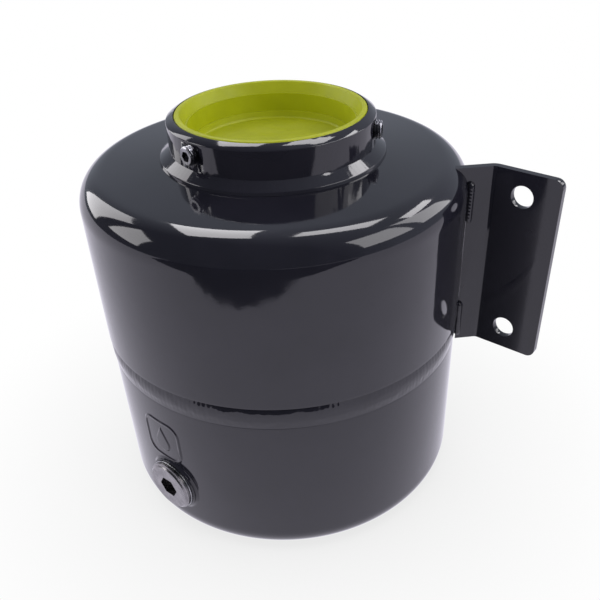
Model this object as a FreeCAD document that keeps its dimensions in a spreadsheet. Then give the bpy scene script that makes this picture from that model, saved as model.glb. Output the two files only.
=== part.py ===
import FreeCAD, Part
import math
import os
import re
import Sketcher

# Expansion vessel of about seven litres, standing on its base ring. All sizes are in millimetres.
# The vessel's axis is Z, its base ring lies on z = 0 and the bracket's flange faces +Y.
# "section" points are (distance from the axis, height). A radius as third value rounds that corner.

DIMENSIONS = {
    # pressure shell
    "shell_radius": 110.0,
    "shoulder_radius": 109.4,
    "lower_radius": 109.0,
    "wall": 2.0,
    "shoulder_height": 209.8,
    "crown_rise": 3.9,
    "knuckle": 16.5,
    "fit_gap": 0.05,
    # base recess
    "recess_radius": 46.0,
    "recess_depth": 22.0,
    "base_ring_inner": 62.0,
    "recess_round": 7.0,
    # girth joint: the lower shell is joggled in and the upper shell's edge laps over it
    "joggle_start": 101.0,
    "joggle_end": 104.5,
    "lap_top": 126.0,
    "lap_gap": 0.12,
    "seam_edge": 115.4,
    "seam_weld_root": 108.6,
    "seam_weld_crest": 109.3,
    "seam_weld_round": 20.0,
    # neck
    "collar_radius": 57.2,
    "collar_bore": 52.8,
    "collar_top": 236.5,
    "bevel_height": 2.6,
    "foot_radius": 65.0,
    "foot_bottom": 206.0,
    "foot_top": 210.9,
    "seat_bore": 47.0,
    "seat_height": 211.0,
    "neck_weld_toe": 63.3,
    "neck_weld_lip": 1.6,
    "neck_weld_top": 219.0,
    # set screws in the collar
    "screw_height": 227.5,
    "screw_radius": 5.0,
    "screw_pitch": 1.5,
    "screw_face": 61.0,
    "screw_length": 8.0,
    "screw_socket": 5.0,
    "screw_socket_depth": 4.0,
    "thread_clearance": 0.12,
    # closing cap
    "cap_radius": 52.4,
    "cap_top": 236.8,
    "cap_rim": 2.6,
    "cap_rim_width": 2.8,
    "cap_skirt": 47.5,
    "cap_skin": 1.4,
    "cap_ledge": 230.6,
    "cap_step": 220.0,
    "cap_floor": 216.6,
    # bladder and its retaining ring
    "bladder_radius": 93.0,
    "bladder_top": 199.0,
    "bladder_bottom": 33.0,
    "bladder_skin": 2.2,
    "lip_height": 3.9,
    "ring_height": 3.0,
    "ring_inner": 48.2,
    # drain boss, plug and sealing ring
    "drain_height": 38.5,
    "boss_radius": 17.5,
    "boss_face": 110.1,
    "boss_length": 16.0,
    "plug_thread": 13.2,
    "plug_pitch": 1.814,
    "plug_shank": 12.0,
    "plug_head": 16.0,
    "plug_face": 114.2,
    "plug_socket": 12.0,
    "plug_socket_depth": 7.0,
    "seal_thickness": 1.0,
    "boss_weld_leg": 1.5,
    "boss_weld_rise": 1.0,
    # raised mark above the drain: a water drop in a rounded frame
    "mark_height": 72.2,
    "mark_shift": -3.5,
    "mark_width": 29.0,
    "mark_corner": 8.0,
    "mark_line": 1.8,
    "mark_relief": 0.6,
    "drop_radius": 5.5,
    "drop_tip": 12.0,
    # wall bracket
    "bracket_plate": 4.0,
    "bracket_bottom": 95.7,
    "bracket_height": 113.0,
    "bracket_face": 58.4,
    "bracket_leg": 30.0,
    "bracket_bend": 108.0,
    "bracket_edge": 146.7,
    "bracket_corner": 5.0,
    "bracket_bend_round": 3.0,
    "hole_radius": 6.5,
    "hole_setback": 21.5,
    "hole_pitch": 85.0,
    "bead_length": 24.0,
    "bead_radius": 2.3,
    # gas valve under the base
    "valve_boss_radius": 9.0,
    "valve_boss_face": 18.0,
    "valve_boss_top": 27.0,
    "valve_thread": 5.0,
    "valve_gasket": 0.9,
    "stem_hex": 12.0,
    "stem_hex_height": 4.0,
    "stem_neck": 3.85,
    "stem_pitch": 0.794,
    "stem_thread": 8.5,
    "stem_mouth": 4.2,
    "stem_bore": 2.6,
    "valve_cap_radius": 6.4,
    "valve_cap_bottom": 1.6,
    "valve_cap_end": 1.5,
    "core_seat": 14.0,
    "core_ledge": 10.0,
    "core_bottom": 4.9,
    "core_chamber": 1.7,
    "pin_radius": 0.5,
    "spring_wire": 0.18,
    "spring_radius": 1.15,
    "spring_turns": 6.0,
}

SCREW_AZIMUTHS = {"set_screw_front": -94.0, "set_screw_right": 26.0, "set_screw_rear": 146.0}
BRACKET_ANGLE = 45.0
CAP_FLUTES = 18

doc = FreeCAD.newDocument("expansion_vessel")
sheet = doc.addObject("Spreadsheet::Sheet", "Size")
for row, (alias, number) in enumerate(DIMENSIONS.items(), start=1):
    sheet.set(f"A{row}", alias)
    sheet.set(f"B{row}", str(number))
    sheet.setAlias(f"B{row}", alias)
doc.recompute()

nodes = []


def bound(expression):
    """The expression with each dimension's name pointing at its cell."""
    return re.sub(r"[a-z_]+", lambda word: cell_name(word.group()), expression)


def cell_name(word):
    """A dimension's name as a cell of the sheet, or any other word unchanged."""
    return "Size." + word if word in DIMENSIONS else word


def value(expression):
    """The expression's number."""
    return float(sheet.evalExpression(bound(expression)))


def is_driven(expression):
    """Whether the expression uses a cell of the sheet."""
    return "Size." in bound(expression)


def new_body(label):
    """An empty body that becomes one node."""
    body = doc.addObject("PartDesign::Body", label)
    body.Label = label
    nodes.append(body)
    return body


def origin_part(body, role):
    """One of the body's own origin planes or axes."""
    return next(item for item in body.Origin.OriginFeatures if item.Role == role)


def new_sketch(body, name, role, offset="0"):
    """An empty sketch on one of the body's origin planes, raised along the plane's normal by an offset."""
    sketch = body.newObject("Sketcher::SketchObject", name)
    sketch.AttachmentSupport = [(origin_part(body, role), "")]
    sketch.MapMode = "FlatFace"
    if is_driven(offset):
        sketch.setExpression("AttachmentOffset.Base.z", bound(offset))
    return sketch


def drive(sketch, kind, elements, expression):
    """Add a dimension to a sketch and bind it to the sheet."""
    index = sketch.addConstraint(Sketcher.Constraint(kind, *elements, value(expression)))
    if is_driven(expression):
        sketch.setExpression(f"Constraints[{index}]", bound(expression))


def place_point(sketch, geometry, end, x, y):
    """Fix a sketch point at a place given by two expressions."""
    for kind, axis, expression in (("DistanceX", -2, x), ("DistanceY", -1, y)):
        if abs(value(expression)) < 1e-9:
            sketch.addConstraint(Sketcher.Constraint("PointOnObject", geometry, end, axis))
        else:
            drive(sketch, kind, (-1, 1, geometry, end), expression)


def add_outline(sketch, corners):
    """Draw a closed outline. Each corner is (x, y) or (x, y, radius of its rounding), as expressions."""
    count = len(corners)
    points = [FreeCAD.Vector(value(corner[0]), value(corner[1]), 0) for corner in corners]
    rounds = [value(corner[2]) if len(corner) > 2 else 0.0 for corner in corners]
    arrive, leave, centres = [], [], []
    for i, point in enumerate(points):
        back = (points[i - 1] - point).normalize()
        ahead = (points[(i + 1) % count] - point).normalize()
        half_angle = back.getAngle(ahead) / 2
        setback = rounds[i] / math.tan(half_angle)
        arrive.append(point + back * setback)
        leave.append(point + ahead * setback)
        to_centre = (back + ahead).normalize() if rounds[i] else FreeCAD.Vector()
        centres.append(point + to_centre * (rounds[i] / math.sin(half_angle)))
    lines = []
    for i in range(count):
        lines.append(sketch.addGeometry(Part.LineSegment(leave[i], arrive[(i + 1) % count]), False))
    for i, corner in enumerate(corners):
        before, after = lines[i - 1], lines[i]
        if not rounds[i]:
            sketch.addConstraint(Sketcher.Constraint("Coincident", before, 2, after, 1))
            place_point(sketch, after, 1, corner[0], corner[1])
            continue
        start, finish = arrive[i] - centres[i], leave[i] - centres[i]
        forward = start.cross(finish).z > 0
        angles = [math.atan2(spoke.y, spoke.x) for spoke in ((start, finish) if forward else (finish, start))]
        circle = Part.Circle(centres[i], FreeCAD.Vector(0, 0, 1), rounds[i])
        arc = sketch.addGeometry(Part.ArcOfCircle(circle, angles[0], angles[1]), False)
        tip = sketch.addGeometry(Part.Point(points[i]), True)
        sketch.addConstraint(Sketcher.Constraint("Tangent", before, 2, arc, 1 if forward else 2))
        sketch.addConstraint(Sketcher.Constraint("Tangent", arc, 2 if forward else 1, after, 1))
        sketch.addConstraint(Sketcher.Constraint("PointOnObject", tip, 1, before))
        sketch.addConstraint(Sketcher.Constraint("PointOnObject", tip, 1, after))
        place_point(sketch, tip, 1, corner[0], corner[1])
        drive(sketch, "Radius", (arc,), corner[2])


def add_circle(sketch, x, y, radius):
    """Draw a circle from three expressions."""
    centre = FreeCAD.Vector(value(x), value(y), 0)
    ring = sketch.addGeometry(Part.Circle(centre, FreeCAD.Vector(0, 0, 1), value(radius)), False)
    place_point(sketch, ring, 3, x, y)
    drive(sketch, "Radius", (ring,), radius)


def revolve(body, name, corners, kind="PartDesign::Revolution"):
    """Turn a section about the body's Z axis, as new material or as a Groove."""
    sketch = new_sketch(body, name + "_section", "XZ_Plane")
    add_outline(sketch, corners)
    turned = body.newObject(kind, name)
    turned.Profile = sketch
    turned.ReferenceAxis = (sketch, ["V_Axis"])
    turned.Angle = 360
    doc.recompute()
    return turned


def turned_part(label, corners):
    """A node that is one turned solid."""
    body = new_body(label)
    revolve(body, label + "_turned", corners)
    return body


def extrude(body, sketch, name, length, kind="PartDesign::Pad", backwards=False):
    """Pad or pocket a sketch by a length."""
    feature = body.newObject(kind, name)
    feature.Profile = sketch
    feature.Reversed = backwards
    feature.setExpression("Length", bound(length))
    doc.recompute()
    return feature


def repeat(body, feature, name, count):
    """Repeat a feature evenly around the body's Z axis."""
    pattern = body.newObject("PartDesign::PolarPattern", name)
    pattern.Originals = [feature]
    pattern.Axis = (origin_part(body, "Z_Axis"), [""])
    pattern.Angle = 360
    pattern.Occurrences = count
    body.Tip = pattern
    doc.recompute()


def hexagon_corners(width):
    """The six corners of a hexagon with a given width across its flats."""
    turns = [math.radians(60 * side) for side in range(6)]
    reach = f"{width} / sqrt(3)"
    return [(f"{math.cos(turn):.9f} * {reach}", f"{math.sin(turn):.9f} * {reach}") for turn in turns]


def cut_thread(body, name, radius, pitch, start, height):
    """Cut a right-hand thread groove with 60 degree flanks, upwards from a start height."""
    sketch = new_sketch(body, name + "_tooth", "XZ_Plane")
    outer, depth = f"{radius} + {pitch} / 5", f"{pitch} * 0.61"
    add_outline(
        sketch,
        [
            (outer, f"{start} - {pitch} * 0.46"),
            (outer, f"{start} + {pitch} * 0.46"),
            (f"{radius} - {depth}", f"{start} + {pitch} * 0.07"),
            (f"{radius} - {depth}", f"{start} - {pitch} * 0.07"),
        ],
    )
    thread = body.newObject("PartDesign::SubtractiveHelix", name)
    thread.Profile = sketch
    thread.ReferenceAxis = (sketch, ["V_Axis"])
    thread.Mode = "pitch-height-angle"
    thread.setExpression("Pitch", bound(pitch))
    thread.setExpression("Height", bound(height))
    doc.recompute()
    return thread


def must_cut(body, before, what):
    """Stop if a cutting feature removed nothing."""
    if body.Shape.Volume > before - 0.01:
        raise RuntimeError(f"{what} cuts nothing from {body.Label}")


def crown_height(radius):
    """The height of the shell's gently coned top at a radius."""
    inwards = f"(shoulder_radius - {radius}) / (shoulder_radius - collar_radius - fit_gap)"
    return f"(shoulder_height + crown_rise * {inwards})"


# Pressure shell -------------------------------------------------------------------------------------


def make_upper_shell():
    """Deep-drawn upper half: side wall, shoulder and a gently coned top with the neck hole."""
    crown = "shoulder_height + crown_rise"
    turned_part(
        "upper_shell",
        [
            ("shell_radius - wall", "seam_edge"),
            ("shell_radius", "seam_edge"),
            ("shoulder_radius", "shoulder_height", "knuckle"),
            ("collar_radius + fit_gap", crown),
            ("collar_radius + fit_gap", crown + " - wall"),
            ("shoulder_radius - wall", "shoulder_height - wall", "knuckle - wall"),
        ],
    )


def make_lower_shell():
    """Deep-drawn lower half: joggled edge, base ring, central recess, drain hole and raised mark."""
    lap = "shell_radius - wall - lap_gap"
    # the inner skin's corners lie beside the outer skin's, by what each slope between them asks for
    recess_lean = "wall * 0.48"
    joggle_lean = "wall * 0.15"
    body = turned_part(
        "lower_shell",
        [
            ("valve_boss_radius + fit_gap", "recess_depth"),
            ("recess_radius", "recess_depth", "recess_round - wall"),
            ("base_ring_inner", "0", "recess_round"),
            ("lower_radius", "0", "knuckle"),
            ("lower_radius", "joggle_start"),
            (lap, "joggle_end"),
            (lap, "lap_top"),
            (lap + " - wall", "lap_top"),
            (lap + " - wall", "joggle_end - " + joggle_lean),
            ("lower_radius - wall", "joggle_start - " + joggle_lean),
            ("lower_radius - wall", "wall", "knuckle - wall"),
            ("base_ring_inner + " + recess_lean, "wall", "recess_round - wall"),
            ("recess_radius + " + recess_lean, "recess_depth + wall", "recess_round"),
            ("valve_boss_radius + fit_gap", "recess_depth + wall"),
        ],
    )
    mark = new_sketch(body, "mark_outline", "XZ_Plane", "lower_radius - 0.9 * wall")
    add_frame(mark, "mark_width / 2", "mark_corner")
    add_frame(mark, "mark_width / 2 - mark_line", "mark_corner - mark_line")
    add_drop(mark)
    extrude(body, mark, "mark_pad", "2 * wall")
    near, far = "lower_radius + mark_relief", "lower_radius + 2 * wall"
    low, high = "mark_height - mark_width", "mark_height + mark_width"
    before = body.Shape.Volume
    revolve(body, "mark_trim", [(near, low), (far, low), (far, high), (near, high)], "PartDesign::Groove")
    must_cut(body, before, "the mark's trim")
    before = body.Shape.Volume
    # the hole starts between the recess and the wall, so that it cuts the wall alone
    hole = new_sketch(body, "drain_hole_outline", "XZ_Plane", "lower_radius / 2")
    add_circle(hole, "0", "drain_height", "boss_radius + fit_gap")
    extrude(body, hole, "drain_hole", "shell_radius", "PartDesign::Pocket", backwards=True)
    must_cut(body, before, "the drain hole")


def add_frame(sketch, half, corner):
    """Draw a rounded square around the mark's centre, from its half width and its corners' radius."""
    left, right = f"mark_shift - ({half})", f"mark_shift + {half}"
    low, high = f"mark_height - ({half})", f"mark_height + {half}"
    add_outline(sketch, [(x, y, corner) for x, y in ((left, low), (right, low), (right, high), (left, high))])


def add_drop(sketch):
    """Draw a water drop: a round belly with two straight flanks that meet in a tip above it."""
    shift, height = "mark_shift", "mark_height - drop_tip / 4"
    radius, reach = value("drop_radius"), value("drop_tip")
    centre = FreeCAD.Vector(value(shift), value(height), 0)
    lean = math.asin(radius / reach)
    touch = FreeCAD.Vector(radius * math.cos(lean), radius * math.sin(lean), 0)
    tip = centre + FreeCAD.Vector(0, reach, 0)
    mirrored = FreeCAD.Vector(-touch.x, touch.y, 0)
    circle = Part.Circle(centre, FreeCAD.Vector(0, 0, 1), radius)
    belly = sketch.addGeometry(Part.ArcOfCircle(circle, math.pi - lean, 2 * math.pi + lean), False)
    right = sketch.addGeometry(Part.LineSegment(centre + touch, tip), False)
    left = sketch.addGeometry(Part.LineSegment(tip, centre + mirrored), False)
    sketch.addConstraint(Sketcher.Constraint("Tangent", belly, 2, right, 1))
    sketch.addConstraint(Sketcher.Constraint("Coincident", right, 2, left, 1))
    sketch.addConstraint(Sketcher.Constraint("Tangent", left, 2, belly, 1))
    place_point(sketch, belly, 3, shift, height)
    place_point(sketch, right, 2, shift, height + " + drop_tip")
    drive(sketch, "Radius", (belly,), "drop_radius")


def make_girth_weld():
    """Wide flat bead from under the upper shell's edge down to the lower shell's wall."""
    inner = "shell_radius - wall - lap_gap + fit_gap"
    turned_part(
        "girth_weld",
        [
            (inner, "joggle_end"),
            (inner, "seam_edge - fit_gap"),
            ("seam_weld_root", "seam_edge - fit_gap"),
            ("shell_radius + fit_gap", "seam_weld_crest", "seam_weld_round"),
            ("lower_radius + fit_gap", "joggle_start + 0.4"),
        ],
    )


# Neck -----------------------------------------------------------------------------------------------


def make_neck_collar():
    """Thick turned collar with a welded-in foot, a bladder seat, a bevelled rim and three screw holes."""
    body = turned_part(
        "neck_collar",
        [
            ("seat_bore", "foot_bottom"),
            ("foot_radius", "foot_bottom"),
            ("foot_radius", "foot_top"),
            ("collar_radius", "foot_top"),
            ("collar_radius", "collar_top - bevel_height"),
            ("collar_bore", "collar_top"),
            ("collar_bore", "seat_height"),
            ("seat_bore", "seat_height"),
        ],
    )
    before = body.Shape.Volume
    sketch = new_sketch(body, "screw_hole_outline", "XZ_Plane")
    add_circle(sketch, "0", "screw_height", "screw_radius + thread_clearance")
    hole = extrude(body, sketch, "screw_hole", "shell_radius", "PartDesign::Pocket", backwards=True)
    repeat(body, hole, "screw_holes", len(SCREW_AZIMUTHS))
    must_cut(body, before, "the screw holes")
    # the holes are cut from -Y, and the whole collar is turned to put them on the screws
    turn = SCREW_AZIMUTHS["set_screw_front"] + 90
    body.Placement = FreeCAD.Placement(FreeCAD.Vector(), FreeCAD.Rotation(FreeCAD.Vector(0, 0, 1), turn))


def make_neck_weld():
    """Fillet weld from the shell's top up to the collar's wall, with a low lip along its toe."""
    wall_side, gap = "collar_radius + fit_gap", " + 2 * fit_gap"
    turned_part(
        "neck_weld",
        [
            (wall_side, crown_height(f"({wall_side})") + gap),
            ("neck_weld_toe", crown_height("neck_weld_toe") + gap),
            ("neck_weld_toe - 0.5", crown_height("neck_weld_toe") + " + neck_weld_lip", "0.7"),
            (wall_side, "neck_weld_top"),
        ],
    )


def make_set_screw(label, azimuth):
    """Socket set screw on a radial axis. Its own Z axis points outwards from the vessel's axis."""
    tip = "screw_face - screw_length"
    body = new_body(label)
    revolve(
        body,
        label + "_shank",
        [
            ("0", tip + " + 1"),
            ("screw_radius - 2.6", tip),
            ("screw_radius - 1.2", tip),
            ("screw_radius", tip + " + 1.2"),
            ("screw_radius", "screw_face - 0.9"),
            ("screw_radius - 0.9", "screw_face"),
            ("0", "screw_face"),
        ],
    )
    before = body.Shape.Volume
    cut_thread(body, label + "_thread", "screw_radius", "screw_pitch", tip + " - 1.5", "screw_length + 3")
    must_cut(body, before, "the thread")
    socket = new_sketch(body, label + "_socket_outline", "XY_Plane", "screw_face")
    add_outline(socket, hexagon_corners("screw_socket"))
    before = body.Shape.Volume
    extrude(body, socket, label + "_socket", "screw_socket_depth", "PartDesign::Pocket")
    must_cut(body, before, "the socket")
    turn = math.radians(azimuth)
    outwards = FreeCAD.Vector(math.cos(turn), math.sin(turn), 0)
    body.Placement = FreeCAD.Placement(FreeCAD.Vector(), FreeCAD.Rotation(FreeCAD.Vector(0, 0, 1), outwards))
    body.setExpression("Placement.Base.z", bound("screw_height"))


def make_closing_cap():
    """Dished plastic cap that closes the neck: rounded rim, stepped skirt and flat floor."""
    turned_part(
        "closing_cap",
        [
            ("0", "cap_floor - cap_skin"),
            ("cap_skirt - 2.4", "cap_floor - cap_skin", "1"),
            ("cap_skirt - 1", "cap_step"),
            ("cap_skirt", "cap_step + 1"),
            ("cap_skirt", "cap_ledge - 0.6"),
            ("cap_radius - 2", "cap_top - cap_rim"),
            ("cap_radius", "cap_top - cap_rim"),
            ("cap_radius", "cap_top", "1.1"),
            ("cap_radius - cap_rim_width", "cap_top", "0.9"),
            ("cap_skirt - 0.6", "cap_ledge"),
            ("cap_skirt - cap_skin", "cap_ledge"),
            ("cap_skirt - cap_skin - 0.5", "cap_step + 0.6"),
            ("cap_skirt - cap_skin - 1.3", "cap_step + 0.6"),
            ("cap_skirt - cap_skin - 2.2", "cap_floor", "1.5"),
            ("0", "cap_floor"),
        ],
    )


# Bladder --------------------------------------------------------------------------------------------


def make_bladder():
    """Butyl bladder hung in the neck by its thick lip, and clear of the shell all round."""
    lip_top = "seat_height + fit_gap + lip_height"
    neck = "seat_bore - 0.3"
    turned_part(
        "bladder",
        [
            ("0", "bladder_bottom"),
            ("bladder_radius", "bladder_bottom", "45"),
            ("bladder_radius", "bladder_top", "30"),
            (neck, "bladder_top", "3"),
            (neck, "seat_height + fit_gap"),
            ("collar_bore - 0.2", "seat_height + fit_gap"),
            ("collar_bore - 0.2", lip_top, "1"),
            (neck + " - bladder_skin", lip_top, "1"),
            (neck + " - bladder_skin", "bladder_top - bladder_skin", "3 + bladder_skin"),
            ("bladder_radius - bladder_skin", "bladder_top - bladder_skin", "30 - bladder_skin"),
            ("bladder_radius - bladder_skin", "bladder_bottom + bladder_skin", "45 - bladder_skin"),
            ("0", "bladder_bottom + bladder_skin"),
        ],
    )


def make_bladder_ring():
    """Steel ring that holds the bladder's lip down on its seat."""
    low = "seat_height + lip_height + 2 * fit_gap"
    turned_part(
        "bladder_retaining_ring",
        [
            ("ring_inner", low),
            ("collar_bore - 0.1", low),
            ("collar_bore - 0.1", low + " + ring_height", "0.6"),
            ("ring_inner", low + " + ring_height", "0.6"),
        ],
    )


# Drain ----------------------------------------------------------------------------------------------


def face_the_drain(body):
    """Turn a body so that its Z axis points along -Y, and put it on the drain's axis."""
    body.Placement = FreeCAD.Placement(FreeCAD.Vector(), FreeCAD.Rotation(FreeCAD.Vector(1, 0, 0), 90))
    body.setExpression("Placement.Base.z", bound("drain_height"))


def make_drain_boss():
    """Threaded half coupling that stands through the lower shell."""
    inner_end = "boss_face - boss_length"
    bore = "plug_thread + thread_clearance"
    body = turned_part(
        "drain_boss",
        [
            (bore, inner_end),
            ("boss_radius", inner_end),
            ("boss_radius", "boss_face", "0.8"),
            (bore, "boss_face"),
        ],
    )
    face_the_drain(body)


def make_drain_boss_weld():
    """Small weld around the drain boss: a ring of even height on the shell's round wall."""
    inner, outer = "boss_radius + fit_gap", "boss_radius + boss_weld_leg"
    low, high = "lower_radius - 3 * wall", "lower_radius + wall"
    body = turned_part("drain_boss_weld", [(inner, low), (outer, low), (outer, high), (inner, high)])
    trim_to_shell(body, "underside", "0", "lower_radius + fit_gap")
    trim_to_shell(body, "top", "lower_radius + boss_weld_rise", "lower_radius + 3 * wall")
    face_the_drain(body)


def trim_to_shell(body, side, near, far):
    """Cut a body that faces the drain with a tube around the vessel's axis, between two radii."""
    reach = "2 * boss_radius"
    outline = new_sketch(body, side + "_trim_outline", "XY_Plane")
    add_outline(outline, [(near, "-1 * " + reach), (far, "-1 * " + reach), (far, reach), (near, reach)])
    before = body.Shape.Volume
    groove = body.newObject("PartDesign::Groove", side + "_trim")
    groove.Profile = outline
    groove.ReferenceAxis = (outline, ["V_Axis"])
    groove.Angle = 360
    doc.recompute()
    must_cut(body, before, "the weld's trim")


def make_drain_plug():
    """Collared hexagon-socket screw plug with a parallel pipe thread."""
    under_head = "boss_face + seal_thickness + 2 * fit_gap"
    end = under_head + " - plug_shank"
    relief = "plug_thread - 1.3"
    body = new_body("drain_plug")
    revolve(
        body,
        "plug_blank",
        [
            ("0", end),
            ("plug_thread - 1.4", end),
            ("plug_thread", end + " + 1.4"),
            ("plug_thread", under_head + " - 2.2"),
            (relief, under_head + " - 1.6"),
            (relief, under_head),
            ("plug_head", under_head, "0.4"),
            ("plug_head", "plug_face - 1.4"),
            ("plug_head - 1", "plug_face - 0.9"),
            ("plug_head - 1", "plug_face - 0.7"),
            ("plug_head - 1.7", "plug_face"),
            ("0", "plug_face"),
        ],
    )
    before = body.Shape.Volume
    cut_thread(body, "plug_thread_cut", "plug_thread", "plug_pitch", end + " - 1.8", "plug_shank")
    must_cut(body, before, "the plug's thread")
    socket = new_sketch(body, "plug_socket_outline", "XY_Plane", "plug_face")
    add_outline(socket, hexagon_corners("plug_socket"))
    before = body.Shape.Volume
    extrude(body, socket, "plug_socket_cut", "plug_socket_depth", "PartDesign::Pocket")
    must_cut(body, before, "the plug's socket")
    face_the_drain(body)


def make_drain_seal():
    """Flat sealing ring between the boss and the plug's collar."""
    low = "boss_face + fit_gap"
    body = turned_part(
        "drain_seal_ring",
        [
            ("plug_thread + 0.15", low),
            ("plug_head + 0.4", low, "0.3"),
            ("plug_head + 0.4", low + " + seal_thickness", "0.3"),
            ("plug_thread + 0.15", low + " + seal_thickness"),
        ],
    )
    face_the_drain(body)


# Wall bracket ---------------------------------------------------------------------------------------


def make_wall_bracket():
    """Bent steel plate: a leg that stands on the shell and a flange with two fixing holes."""
    body = new_body("wall_bracket")
    turn = math.radians(BRACKET_ANGLE)
    bend_shift = f"bracket_plate * {math.tan(turn / 2):.9f}"
    leg_run = f"bracket_leg * {math.cos(turn):.9f}"
    leg_rise = f"bracket_leg * {math.sin(turn):.9f}"
    normal_x = f"bracket_plate * {math.sin(turn):.9f}"
    normal_y = f"bracket_plate * {math.cos(turn):.9f}"
    back = "bracket_face + bracket_plate"
    plan = new_sketch(body, "bracket_plan", "XY_Plane", "bracket_bottom")
    add_outline(
        plan,
        [
            (f"bracket_bend - {leg_run}", f"bracket_face - {leg_rise}"),
            ("bracket_bend", "bracket_face", "bracket_bend_round"),
            ("bracket_edge", "bracket_face"),
            ("bracket_edge", back),
            (f"bracket_bend - {bend_shift}", back, "bracket_bend_round + bracket_plate"),
            (f"bracket_bend - {leg_run} - {normal_x}", f"bracket_face - {leg_rise} + {normal_y}"),
        ],
    )
    extrude(body, plan, "bracket_plate_pad", "bracket_height")
    before = body.Shape.Volume
    revolve(
        body,
        "leg_trim",
        [
            ("0", "bracket_bottom - 1"),
            ("shell_radius + fit_gap", "bracket_bottom - 1"),
            ("shell_radius + fit_gap", "seam_edge"),
            ("shoulder_radius + fit_gap", "shoulder_height + fit_gap", "knuckle"),
            ("collar_radius", "shoulder_height + crown_rise + fit_gap"),
            ("0", "shoulder_height + crown_rise + fit_gap"),
        ],
        "PartDesign::Groove",
    )
    must_cut(body, before, "the leg's trim")
    before = body.Shape.Volume
    holes = new_sketch(body, "bracket_hole_outlines", "XZ_Plane")
    middle = "bracket_bottom + bracket_height / 2"
    for side in ("-", "+"):
        add_circle(holes, "bracket_edge - hole_setback", f"{middle} {side} hole_pitch / 2", "hole_radius")
    extrude(body, holes, "bracket_holes", "shell_radius", "PartDesign::Pocket")
    must_cut(body, before, "the fixing holes")
    base = body.Tip
    corners = [
        f"Edge{index}"
        for index, edge in enumerate(base.Shape.Edges, start=1)
        if edge.BoundBox.XLength < 1e-6
        and edge.BoundBox.ZLength < 1e-6
        and edge.BoundBox.XMin > value("bracket_edge") - 1e-3
    ]
    rounding = body.newObject("PartDesign::Fillet", "flange_corners")
    rounding.Base = (base, corners)
    rounding.setExpression("Radius", bound("bracket_corner"))
    doc.recompute()


def add_solid(kind, name, sizes, place, spin=0.0):
    """A Part primitive whose sizes are bound to the sheet, turned about Z and put in its place."""
    solid = doc.addObject(kind, name)
    for size, expression in sizes.items():
        solid.setExpression(size, bound(expression))
    solid.Placement = FreeCAD.Placement(place, FreeCAD.Rotation(FreeCAD.Vector(0, 0, 1), spin))
    return solid


def add_group(kind, name, members, property_name):
    """A Part boolean or compound of several objects."""
    group = doc.addObject(kind, name)
    setattr(group, property_name, members)
    return group


def make_bracket_welds():
    """Four stitch beads, two on each side of the leg, trimmed to the shell and to the plate."""
    turn = math.radians(BRACKET_ANGLE)
    along = FreeCAD.Vector(math.cos(turn), math.sin(turn), 0)
    across = FreeCAD.Vector(-math.sin(turn), math.cos(turn), 0)
    upwards = FreeCAD.Vector(0, 0, 1)
    bend = FreeCAD.Vector(value("bracket_bend"), value("bracket_face"), 0)
    radius, straight = value("bead_radius"), value("bead_length - 2 * bead_radius")
    reach = value("shell_radius + fit_gap")
    low = value("bracket_bottom + 4 + bead_radius")
    high = value("bracket_bottom + bracket_height - 8 - bead_radius") - straight
    beads = []
    for side, offset in ((-1, value("-1 * fit_gap")), (1, value("bracket_plate + fit_gap"))):
        start = bend + across * offset
        inward = start.dot(along) - math.sqrt(start.dot(along) ** 2 - start.dot(start) + reach**2)
        foot = start - along * inward
        spin = BRACKET_ANGLE if side < 0 else BRACKET_ANGLE + 180
        for height in (low, high):
            name = f"bead_{len(beads) + 1}"
            centre = foot + (across * side + along) * (radius / 4) + upwards * height
            rod_sizes = {"Radius": "bead_radius", "Height": "bead_length - 2 * bead_radius"}
            rod = add_solid("Part::Cylinder", name + "_rod", rod_sizes, centre)
            ends = [
                add_solid("Part::Sphere", name + part, {"Radius": "bead_radius"}, centre + upwards * shift)
                for part, shift in (("_low_end", 0), ("_high_end", straight))
            ]
            bead = add_group("Part::MultiFuse", name + "_round", [rod, *ends], "Shapes")
            shell = add_solid(
                "Part::Cylinder",
                name + "_shell_room",
                {"Radius": "shell_radius + fit_gap", "Height": "bead_length + 2"},
                upwards * (height - radius - 1),
            )
            corner = foot + along * (2 * side * radius) + upwards * (height - radius - 1)
            plate = add_solid(
                "Part::Box",
                name + "_plate_room",
                {"Length": "4 * bead_radius", "Width": "2 * bead_radius", "Height": "bead_length + 2"},
                corner,
                spin,
            )
            room = add_group("Part::MultiFuse", name + "_room", [shell, plate], "Shapes")
            trimmed = doc.addObject("Part::Cut", name)
            trimmed.Base = bead
            trimmed.Tool = room
            beads.append(trimmed)
    group = add_group("Part::Compound", "bracket_welds", beads, "Links")
    group.Label = "bracket_welds"
    doc.recompute()
    nodes.append(group)


# Gas valve ------------------------------------------------------------------------------------------


def make_valve_boss():
    """Threaded steel boss in the middle of the base recess."""
    bore = "valve_thread + thread_clearance"
    turned_part(
        "gas_valve_boss",
        [
            (bore, "valve_boss_face"),
            ("valve_boss_radius", "valve_boss_face", "0.6"),
            ("valve_boss_radius", "valve_boss_top", "0.6"),
            (bore, "valve_boss_top"),
        ],
    )


def make_valve_weld():
    """Fillet weld between the valve boss and the recess."""
    inner = "valve_boss_radius + fit_gap"
    turned_part(
        "gas_valve_weld",
        [
            (inner, "recess_depth - fit_gap"),
            (inner, "recess_depth - 2.6"),
            (inner + " + 0.6", "recess_depth - 2.4"),
            (inner + " + 2.4", "recess_depth - 0.6"),
            (inner + " + 2.6", "recess_depth - fit_gap"),
        ],
    )


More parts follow.
